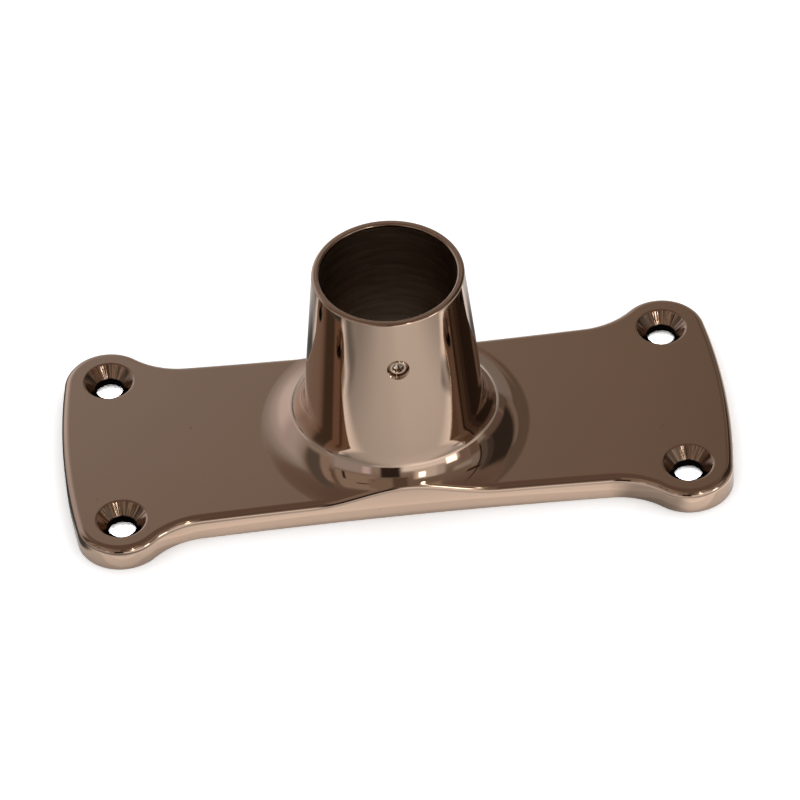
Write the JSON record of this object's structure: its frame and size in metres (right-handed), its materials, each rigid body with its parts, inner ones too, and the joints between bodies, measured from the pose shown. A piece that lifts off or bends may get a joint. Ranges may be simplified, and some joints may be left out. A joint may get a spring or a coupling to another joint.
{
  "type": "shower rod flange",
  "caption": "Cast wall flange for a shower rod: long waisted plate with countersunk screw holes and a tall tapered socket with a set screw.",
  "frame": {"origin": "on the wall plane, on the axis of the rod socket, which is also the middle of the plate's back", "axes": "+X along the plate's long side, +Z away from the wall along the socket's axis, towards its open rim; the set screw looks towards -Y"},
  "size_m": [0.129, 0.0542, 0.045],
  "materials": {
    "plating": "polished nickel plating with a warm tone on a zinc alloy casting",
    "screw_steel": "plain steel, slightly dark in the hexagon socket"
  },
  "bodies": {
    "root": {"flange": "plating", "set_screw": "screw_steel"}
  },
  "joints": []
}
